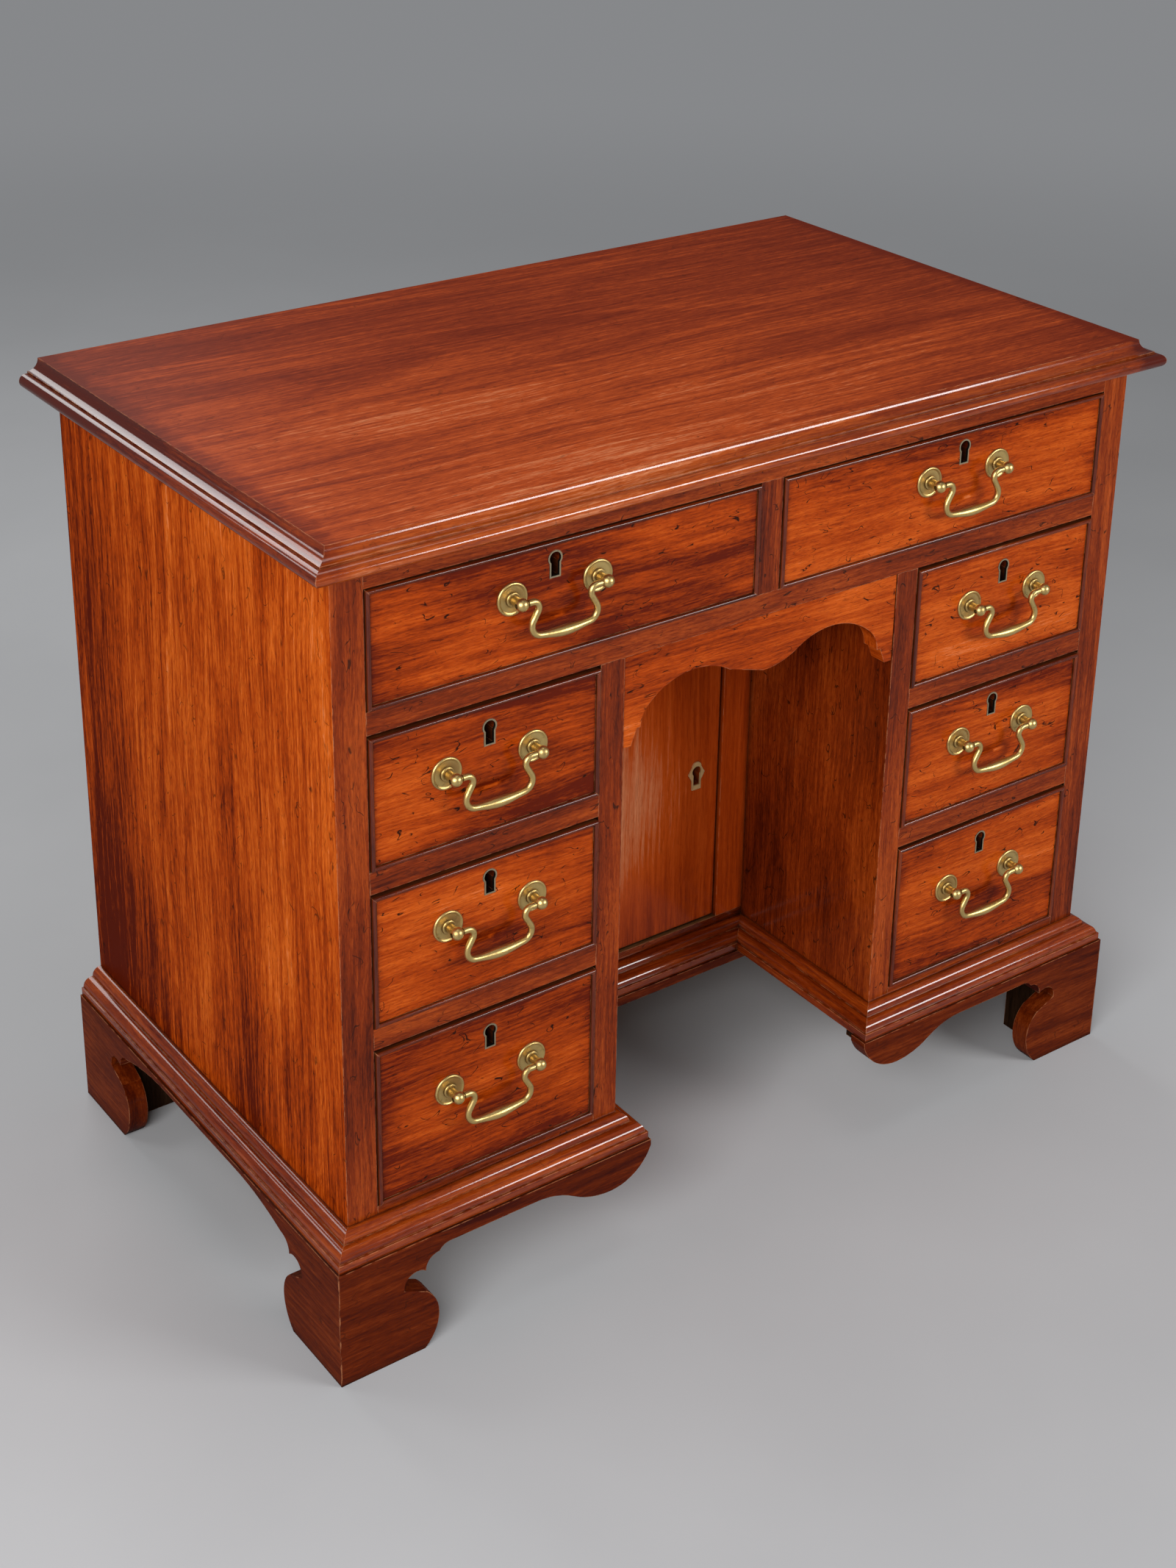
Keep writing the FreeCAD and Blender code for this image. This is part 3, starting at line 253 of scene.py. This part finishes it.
def wood(name, kind, axis, heart, local_wax_and_shading=False, stains_and_light=None, lift=0.0):
    """Polished or dry wood, paler by lift. Stains and painted light, if given, adds a number, negative in dark
    places.
    """
    look = WOODS[kind]
    material, graph, shader = new_material(name)
    place = graph.vector("MULTIPLY", grain_place(graph, axis, heart), (look["fineness"],) * 3)
    *layers, pores, specks, dents = graph.add("Group", {0: place}, node_tree=FIGURE).outputs
    _, streaks, _, clouds = layers
    spread = look["spread"]
    figure = 0.5 + lift
    for share, layer in zip(look["layers"], layers):
        figure = graph.math("MULTIPLY_ADD", graph.math("SUBTRACT", layer, 0.5), share, figure)
    # Stains, and painted light and shade, shift the figure
    if stains_and_light:
        figure = graph.math("MULTIPLY_ADD", stains_and_light(graph), spread, figure)
    dark, middle, light = (colour(*tone) for tone in look["tones"])
    stops = ((0.5 - spread, dark), (0.5, middle), (0.5 + spread, light), (0.5 + 3 * spread, PALEST_AND_PAINTED_LIGHT))
    tint = graph.ramp(figure, *stops)
    tint = graph.mix(graph.math("MULTIPLY", pores, PORE_STRENGTH), tint, dark)
    tint = graph.mix(graph.math("MULTIPLY", specks, look["specks"]), tint, dark)

    # Edges wear pale in patches, partly as a painted highlight along the arrises, and hollows gather dark wax and
    # painted shade
    soft_edge = graph.add("Bevel", {"Radius": EDGE_RADIUS}, samples=NEARBY_RAYS).outputs[0]
    normal = graph.add("NewGeometry").outputs["Normal"]
    facing = graph.measure("DOT_PRODUCT", soft_edge, normal)
    patchy = graph.noise(place, scale=70.0, detail=3.0)
    edge = graph.math("MULTIPLY", graph.rise(facing, 0.99, 0.90), graph.rise(patchy, 0.40, 0.58))
    reach = {"Distance": WAX_AND_SHADE_REACH}
    hollow = graph.add("AmbientOcclusion", reach, samples=NEARBY_RAYS, only_local=local_wax_and_shading)
    wax_and_shading = graph.rise(hollow.outputs["AO"], 0.85, 0.35)
    # Pale wear on the edges in patches, partly a painted highlight line
    tint = graph.mix(graph.math("MULTIPLY", edge, WEAR_AND_HIGHLIGHT_STRENGTH), tint, WORN_AND_HIGHLIGHT)
    tint = graph.mix(graph.math("MULTIPLY", dents, look["dents"]), tint, BLACK_WAX_AND_SHADE)
    # Dark wax and painted shade in hollows and gaps, where ambient occlusion finds them
    tint = graph.mix(graph.math("MULTIPLY", wax_and_shading, WAX_AND_SHADE_STRENGTH), tint, BLACK_WAX_AND_SHADE)
    graph.feed(shader.inputs["Base Color"], tint)

    # Pores and the hollows with wax and painted shade are duller than the rest, and pores and dents lie lower
    rough = graph.math("MULTIPLY_ADD", graph.math("SUBTRACT", clouds, 0.5), 0.25, MIDDLE_ROUGHNESS)
    rough = graph.math("MULTIPLY_ADD", pores, 0.10, rough)
    rough = graph.math("MULTIPLY_ADD", wax_and_shading, 0.25, rough)
    graph.feed(shader.inputs["Roughness"], rough)
    height = graph.math("MULTIPLY_ADD", pores, -0.30, graph.math("MULTIPLY", streaks, 0.35))
    height = graph.math("MULTIPLY_ADD", dents, -look["dents"], height)
    relief = {"Strength": BUMP_STRENGTH, "Distance": BUMP_HEIGHT, "Height": height, "Normal": soft_edge}
    graph.feed(shader.inputs["Normal"], graph.add("Bump", relief).outputs[0])

    # The polish alone reflects
    polish_weight, polish_roughness = look["polish"]
    shader.inputs["Specular IOR Level"].default_value = 0.0
    shader.inputs["Coat Weight"].default_value = polish_weight
    shader.inputs["Coat Roughness"].default_value = polish_roughness
    shader.inputs["Coat IOR"].default_value = POLISH_IOR
    return material


# Metal

TARNISH_REACH = 0.007
PIT_DEPTH = 0.0002
PIT_STRENGTH = 0.25


def metal(name, bright, tarnish, roughness, metallic=1.0):
    """Cast and polished metal, dull in its hollows and softly pitted."""
    material, graph, shader = new_material(name)
    place = graph.own_place()
    blotch = graph.noise(place, scale=160.0, detail=4.0, roughness=0.6)
    pits = graph.noise(place, scale=900.0, detail=2.0)
    reach = {"Distance": TARNISH_REACH}
    hollow = graph.add("AmbientOcclusion", reach, samples=NEARBY_RAYS, only_local=True)
    in_hollow = graph.rise(hollow.outputs["AO"], 0.95, 0.45)
    dull = graph.math("MAXIMUM", in_hollow, graph.rise(blotch, 0.52, 0.78, 0.0, 0.6))
    graph.feed(shader.inputs["Base Color"], graph.mix(dull, colour(*bright), colour(*tarnish)))
    graph.feed(shader.inputs["Roughness"], graph.math("MULTIPLY_ADD", dull, 0.25, roughness))
    bump = graph.add("Bump", {"Strength": PIT_STRENGTH, "Distance": PIT_DEPTH, "Height": pits})
    graph.feed(shader.inputs["Normal"], bump.outputs[0])
    shader.inputs["Metallic"].default_value = metallic
    return material


# Faces of the CAD nodes

def cad_faces(mesh):
    """The polygons of each face of the CAD solid: those that share vertices."""
    owner = list(range(len(mesh.vertices)))

    def root(i):
        while owner[i] != i:
            owner[i] = owner[owner[i]]
            i = owner[i]
        return i

    for polygon in mesh.polygons:
        first = root(polygon.vertices[0])
        for vertex in polygon.vertices:
            owner[root(vertex)] = first
    faces = {}
    for polygon in mesh.polygons:
        faces.setdefault(root(polygon.vertices[0]), []).append(polygon)
    return list(faces.values())


def extent(mesh, polygons):
    """Lowest and highest corner of some polygons."""
    points = [mesh.vertices[v].co for polygon in polygons for v in polygon.vertices]
    low = Vector(min(p[i] for p in points) for i in range(3))
    high = Vector(max(p[i] for p in points) for i in range(3))
    return low, high


def dress(node, choose):
    """Give each CAD face of a node the material that choose(low, high) returns for its extent."""
    mesh = nodes[node].data
    mesh.materials.clear()
    numbers = {}
    for polygons in cad_faces(mesh):
        material = choose(*extent(mesh, polygons))
        if material.name not in numbers:
            numbers[material.name] = len(mesh.materials)
            mesh.materials.append(material)
        for polygon in polygons:
            polygon.material_index = numbers[material.name]


def longest_axis(low, high):
    size = high - low
    return AXES[max(range(3), key=lambda i: size[i])]


# Stains and painted light and shade: a number in steps of the wood's spread, negative where the wood is dark.
# Lengths are in metres.

BACK_BOARDS = 5
# The rub mark and the painted shadow behind a handle are this far above the handle's lowest point
RUB_AND_SHADOW_HEIGHT = 0.012


def from_point(graph, place, point, squeeze):
    """Distance from a point, multiplied along each axis."""
    return graph.measure("LENGTH", graph.vector("MULTIPLY", graph.vector("SUBTRACT", place, point), squeeze))


def end_painted_light(graph):
    """Painted light and shade on an end: it is darker toward the back and the floor, and paler under the top."""
    own = graph.own_place()
    _, y, z = graph.split(own)
    ragged = graph.noise(graph.vector("MULTIPLY", own, (20.0, 40.0, 2.0)), detail=3.0)
    # Painted shade toward the back
    rear = graph.rise(graph.math("MULTIPLY_ADD", ragged, 0.10, y), 0.10, 0.27, 0.0, -0.65)
    # Painted shade toward the floor, and painted light under the top
    low = graph.rise(z, 0.70, 0.12, 0.50, -0.40)
    return graph.math("ADD", rear, low)


def top_stains_and_light(graph):
    """The top has painted light toward the left of its front edge and painted shade away from it, with dark wax
    along its two ends.
    """
    own = graph.own_place()
    # Painted light near the left of the front edge, turning to painted shade further off
    painted_light = graph.rise(from_point(graph, own, (-0.27, -0.27, 0.0), (0.9, 1.6, 0.0)), 0.05, 0.80, 0.95, -0.25)
    off_middle = graph.math("ABSOLUTE", graph.split(own)[0])
    ragged = graph.noise(own, scale=60.0, detail=4.0)
    border = graph.rise(graph.math("MULTIPLY_ADD", ragged, 0.030, off_middle), 0.435, 0.462, 0.0, -1.1)
    return graph.math("ADD", painted_light, border)


def door_painted_light(graph):
    """The door has painted shade toward its foot, and a painted reflection, a soft pale patch, on its outer face,
    left of the keyhole.
    """
    own = graph.own_place()
    outer_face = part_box("cupboard_door")[0].y
    # A painted reflection: a soft pale patch on the outer face
    reach = from_point(graph, own, (0.010, outer_face, 0.315), (1.0, 8.0, 0.60))
    painted_light = graph.rise(reach, 0.100, 0.0, 0.0, 2.0)
    # Painted shade toward the foot
    low = graph.rise(graph.split(own)[2], 0.26, 0.16, 0.0, -0.35)
    return graph.math("ADD", painted_light, low)


def apron_stains(graph):
    """The apron is paler toward its two ends."""
    off_middle = graph.math("ABSOLUTE", graph.split(graph.own_place())[0])
    return graph.rise(off_middle, 0.02, 0.12, 0.1, 0.45)


def back_stains(graph):
    """Back boards that differ a little in tone, with dark joints between them."""
    low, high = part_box("back_boards")
    board_width = (high.x - low.x) / BACK_BOARDS
    x = graph.split(graph.own_place())[0]
    board = graph.math("DIVIDE", graph.math("SUBTRACT", x, low.x), board_width)
    number = graph.math("FLOOR", board)
    chance = graph.add("TexWhiteNoise", {"W": number}, noise_dimensions="1D").outputs["Value"]
    tone = graph.math("MULTIPLY_ADD", chance, 0.9, -0.45)
    joint = graph.rise(graph.math("PINGPONG", board, 0.5), 0.004, 0.010, -2.0, 0.0)
    return graph.math("ADD", tone, joint)


def drawer_stains_and_shadow(name):
    """Darker toward the edges of a drawer front, with a painted shadow and a rub mark behind its handle."""
    low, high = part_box(f"{name}_front")
    bail_low, bail_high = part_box(f"{name}_bail")
    middle = (low + high) / 2
    half = (high - low) / 2
    handle_x = (bail_low.x + bail_high.x) / 2
    rub_and_shadow_z = bail_low.z + RUB_AND_SHADOW_HEIGHT

    def stains_and_light(graph):
        own = graph.own_place()
        x, _, z = graph.split(own)
        ragged = graph.noise(own, scale=38.0, detail=4.0)
        room_x = graph.math("SUBTRACT", half.x, graph.off(x, middle.x))
        room_z = graph.math("SUBTRACT", half.z, graph.off(z, middle.z))
        room = graph.math("MULTIPLY_ADD", ragged, 0.060, graph.math("MINIMUM", room_x, room_z))
        border = graph.rise(room, 0.016, 0.056, -0.55, 0.0)
        aside = graph.off(x, handle_x)
        drop = graph.off(z, rub_and_shadow_z)
        # A painted shadow of the handle on the front behind it
        handle_shadow_depth = graph.rise(drop, 0.020, 0.004, 0.0, -0.6)
        handle_shadow = graph.math("MULTIPLY", graph.rise(aside, 0.046, 0.026), handle_shadow_depth)
        rub = graph.math("MULTIPLY", graph.rise(aside, 0.030, 0.014), graph.rise(drop, 0.0030, 0.0005))
        rub = graph.math("MULTIPLY", rub, graph.rise(ragged, 0.50, 0.60, 0.0, 1.2))
        return graph.math("ADD", graph.math("MINIMUM", border, handle_shadow), rub)

    return stains_and_light


STAINS_AND_LIGHT = {
    "top_board": top_stains_and_light, "apron": apron_stains, "left_end": end_painted_light, "right_end": end_painted_light,
    "cupboard_door": door_painted_light, "back_boards": back_stains,
}


# Which wood each carcass node is

CARCASS_WOODS = {
    "top_board": "top", "left_end": "end", "right_end": "end",
    "left_kneehole_side": "frame", "right_kneehole_side": "frame", "drawer_rails": "frame",
    "middle_rail": "frame", "centre_divider": "frame", "top_rails": "frame",
    "apron": "front", "front_brackets": "foot", "side_brackets": "foot", "plinth_strip": "foot",
    "base_moulding": "moulding", "cupboard_frame": "door", "cupboard_door": "door",
    "dust_boards": "oak", "pedestal_floors": "oak", "kneehole_ceiling": "oak", "back_boards": "oak",
    "rear_brackets": "stained_oak", "glue_blocks": "stained_oak",
    "cupboard_floor": "oak", "drawer_stops": "oak",
}
# How far the middle of some boards is from the heart of their tree
HEARTS = {"left_end": (0.10, 0.02, 0.35), "top_board": (0.10, -0.06, 0.16)}
FRONT_EDGES = ("left_end", "right_end", "pedestal_floors", "cupboard_floor")
# The side of each upright board that faces drawers, along X, which gets painted shadow
DRAWER_SIDES = {"left_end": 1, "right_end": -1, "left_kneehole_side": -1, "right_kneehole_side": 1}

woods_made = {}


def heart_of(node, number, offset=None):
    """The heart of the tree that a node was cut from: without an offset, a place that its number varies."""
    low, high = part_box(node)
    if offset is None:
        offset = (0.31 * number, 0.07 + 0.05 * (number % 4), 0.06 + 0.03 * (number % 5))
    return (low + high) / 2 - Vector(offset)


def board_wood(node, kind, heart, local_wax_and_shading=False):
    """A chooser of wood for a node, with the grain along each face's longest side."""

    def choose(low, high):
        axis = longest_axis(low, high)
        key = (node, kind, axis)
        if key not in woods_made:
            woods_made[key] = wood(f"{kind}_{node}_{axis}", kind, axis, heart, local_wax_and_shading, STAINS_AND_LIGHT.get(node))
        return woods_made[key]

    return choose


def carcass_wood(node, kind, heart):
    """A carcass node's wood, with other woods on front edges and round the top, and painted shadow on the faces
    beside the drawers.
    """
    box_low, box_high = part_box(node)
    main, edge, beside, moulded = (board_wood(node, k, heart) for k in (kind, "frame", "painted_shadow", "moulding"))
    side = DRAWER_SIDES.get(node, 0)

    def faces_drawers(low, high):
        on_right = side > 0 and high.x > box_high.x - FLAT
        on_left = side < 0 and low.x < box_low.x + FLAT
        return high.x - low.x < FLAT and (on_right or on_left)

    def choose(low, high):
        chosen = main
        if node == "top_board":
            chosen = main if high.z - low.z < FLAT else moulded
        elif node in FRONT_EDGES and high.y - box_low.y < FLAT:
            chosen = edge
        elif faces_drawers(low, high):
            chosen = beside
        return chosen(low, high)

    return choose


for number, (node, kind) in enumerate(CARCASS_WOODS.items()):
    heart = heart_of(node, number, HEARTS.get(node))
    dress(node, carcass_wood(node, kind, heart))


# Drawers, handles and hinges

BRASS = metal("brass", (0.58, 0.41, 0.155), (0.15, 0.085, 0.028), 0.36)
# A paler, half-metallic copy of the brass on the door's plate: painted light where the kneehole is in shade
LIT_PLATE_BRASS = metal("lit_plate_brass", (0.80, 0.60, 0.27), (0.40, 0.26, 0.10), 0.40, metallic=0.5)
LINING = metal("lining", (0.38, 0.31, 0.20), (0.07, 0.05, 0.03), 0.38)
IRON = metal("lock_iron", (0.030, 0.028, 0.026), (0.010, 0.009, 0.008), 0.50)

DRAWERS = [name[:-len("_front")] for name in nodes if name.endswith("_front")]
FIRST_DRAWER_NUMBER = 40
# How much paler than the rest some drawer fronts are
LIFTS = {
    "drawer_top_left": -0.03, "drawer_top_right": 0.035,
    "drawer_left_upper": -0.04, "drawer_left_middle": 0.045, "drawer_left_lower": -0.04,
    "drawer_right_upper": 0.01, "drawer_right_lower": 0.03,
}
# What tells the faces of a drawer apart, in metres: its field is wider than its beads, a handle's brass lies
# off the handle's middle, and brass ends close behind a face of the board
FIELD_WIDTH = 0.05
ROSE_DISTANCE = 0.015
BRASS_DEPTH = 0.002


def dress_drawer(name, number):
    """Wood on a drawer's front and box, metal on its handle and lock."""
    heart = heart_of(f"{name}_front", number)
    field = wood(f"front_{name}", "front", "X", heart, True, drawer_stains_and_shadow(name), LIFTS.get(name, 0.0))
    bead, beside = (board_wood(f"{name}_front", kind, heart, True) for kind in ("bead", "painted_shadow"))
    inner_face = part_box(f"{name}_front")[1].y
    bail_low, bail_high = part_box(f"{name}_bail")
    handle_x = (bail_low.x + bail_high.x) / 2

    def front_wood(low, high):
        width = min(high.x - low.x, high.z - low.z)
        if width > FIELD_WIDTH:
            return field
        # The thin sides of a front's beads and board get painted shadow
        return (beside if width < FLAT else bead)(low, high)

    def fitting(low, high):
        of_handle = abs((low.x + high.x) / 2 - handle_x) > ROSE_DISTANCE
        if of_handle and high.y < inner_face + BRASS_DEPTH:
            return BRASS
        return LINING if high.y < inner_face and high.y - low.y < FLAT else IRON

    dress(f"{name}_front", front_wood)
    dress(f"{name}_box", board_wood(f"{name}_box", "oak", heart))
    dress(f"{name}_brass", fitting)
    dress(f"{name}_bail", lambda low, high: BRASS)


for number, name in enumerate(DRAWERS, start=FIRST_DRAWER_NUMBER):
    dress_drawer(name, number)
plate_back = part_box("cupboard_door")[0].y + BRASS_DEPTH
dress("door_brass", lambda low, high: LIT_PLATE_BRASS if high.y < plate_back else IRON)
for node in ("hinge_frame_leaves", "hinge_door_leaves", "hinge_pins"):
    dress(node, lambda low, high: BRASS)


# Floor, light and camera

FLOOR_REACH = 30.0
FLOOR_TONES = ((0.3, colour(0.43, 0.435, 0.445)), (0.7, colour(0.46, 0.465, 0.475)))
# The floor melts into the backdrop between these distances from the desk, in metres
HAZE_START = 1.2
HAZE_END = 4.5
BACKDROP = colour(0.24, 0.245, 0.255)
AMBIENT = colour(0.95, 0.97, 1.0)
AMBIENT_STRENGTH = 0.12

# Lamps: place, target and size in metres, power in watts
SOFTBOXES = {
    "key": ((-2.2, -1.7, 1.7), (0.0, 0.0, 0.4), (1.8, 1.6), 82.0),
    "fill": ((1.6, -2.5, 1.4), (0.0, 0.0, 0.4), (1.3, 0.6), 52.0),
    "rim": ((-1.7, 1.5, 1.9), (-0.2, 0.0, 0.4), (0.9, 0.5), 8.0),
    "back": ((0.0, 2.5, 2.4), (0.0, 0.0, 0.4), (1.8, 1.0), 30.0),
    "overhead": ((0.2, -0.2, 2.7), (0.0, 0.0, 0.6), (1.2, 0.8), 8.0),
}

# A camera close to the photograph's, but with less shift, so that the other views stay in the frame: place in
# metres, angles given in degrees, and in pixels the focal length, the picture's height and the optical axis's row
CAMERA_PLACE = (-1.2590, -1.7069, 1.4973)
AZIMUTH, ELEVATION, ROLL = (math.radians(angle) for angle in (-36.024, 22.567, 0.863))
FOCAL_LENGTH = 3280.9
PICTURE_HEIGHT = 2133.0
AXIS_ROW = 700.0
SENSOR_SIZE = 36.0


def seen_rays(graph):
    """One for rays from the camera or a reflection, zero for those that light the desk."""
    path = graph.add("LightPath").outputs
    seen = graph.math("MAXIMUM", path["Is Camera Ray"], path["Is Glossy Ray"])
    return graph.math("MAXIMUM", seen, path["Is Transmission Ray"])


def floor():
    """A wide pale floor that keeps the desk's shadow and melts into the backdrop far away."""
    mesh = bpy.data.meshes.new("floor")
    corners = [(x * FLOOR_REACH, y * FLOOR_REACH, 0.0) for x, y in ((-1, -1), (1, -1), (1, 1), (-1, 1))]
    mesh.from_pydata(corners, [], [(0, 1, 2, 3)])
    board = bpy.data.objects.new("floor", mesh)
    scene.collection.objects.link(board)
    material, graph, shader = new_material("floor")
    place = graph.own_place()
    tone = graph.ramp(graph.noise(place, scale=2.5, detail=4.0), *FLOOR_TONES)
    graph.feed(shader.inputs["Base Color"], tone)
    shader.inputs["Roughness"].default_value = 0.7
    shader.inputs["Specular IOR Level"].default_value = 0.2
    away = graph.rise(graph.measure("LENGTH", place), HAZE_START, HAZE_END)
    far = graph.math("MULTIPLY", away, seen_rays(graph))
    haze = graph.add("Emission", {"Color": BACKDROP, "Strength": 1.0})
    both = graph.add("MixShader", {0: far, 1: shader.outputs[0], 2: haze.outputs[0]})
    surface = shader.outputs[0].links[0].to_socket
    graph.feed(surface, both.outputs[0])
    mesh.materials.append(material)


def world():
    """Even soft light, and a grey background where the camera or a reflection sees it."""
    scene.world = bpy.data.worlds.new("studio")
    scene.world.use_nodes = True
    scene.world.node_tree.nodes.clear()
    graph = Graph(scene.world.node_tree)
    light = graph.add("Background", {"Color": AMBIENT, "Strength": AMBIENT_STRENGTH})
    backdrop = graph.add("Background", {"Color": BACKDROP, "Strength": 1.0})
    both = graph.add("MixShader", {0: seen_rays(graph), 1: light.outputs[0], 2: backdrop.outputs[0]})
    graph.add("OutputWorld", {"Surface": both.outputs[0]})


def softbox(name, place, target, size, power):
    """A wide lamp turned to a target."""
    lamp = bpy.data.lights.new(name, "AREA")
    lamp.shape = "RECTANGLE"
    lamp.size, lamp.size_y = size
    lamp.energy = power
    holder = bpy.data.objects.new(name, lamp)
    holder.location = place
    holder.rotation_euler = (Vector(target) - Vector(place)).to_track_quat("-Z", "Y").to_euler()
    scene.collection.objects.link(holder)


def camera():
    """About the photograph's view."""
    level = math.cos(ELEVATION)
    back = Vector((math.sin(AZIMUTH) * level, -math.cos(AZIMUTH) * level, math.sin(ELEVATION)))
    right = Vector((0.0, 0.0, 1.0)).cross(back).normalized()
    up = back.cross(right)
    turned = Matrix((right, up, back)).transposed() @ Matrix.Rotation(ROLL, 3, "Z")
    data = bpy.data.cameras.new("camera")
    data.sensor_width = SENSOR_SIZE
    data.lens = FOCAL_LENGTH * SENSOR_SIZE / PICTURE_HEIGHT
    data.shift_y = (AXIS_ROW - PICTURE_HEIGHT / 2) / PICTURE_HEIGHT
    holder = bpy.data.objects.new("camera", data)
    holder.matrix_world = Matrix.Translation(CAMERA_PLACE) @ turned.to_4x4()
    scene.collection.objects.link(holder)
    scene.camera = holder


floor()
world()
for name, settings in SOFTBOXES.items():
    softbox(name, *settings)
camera()
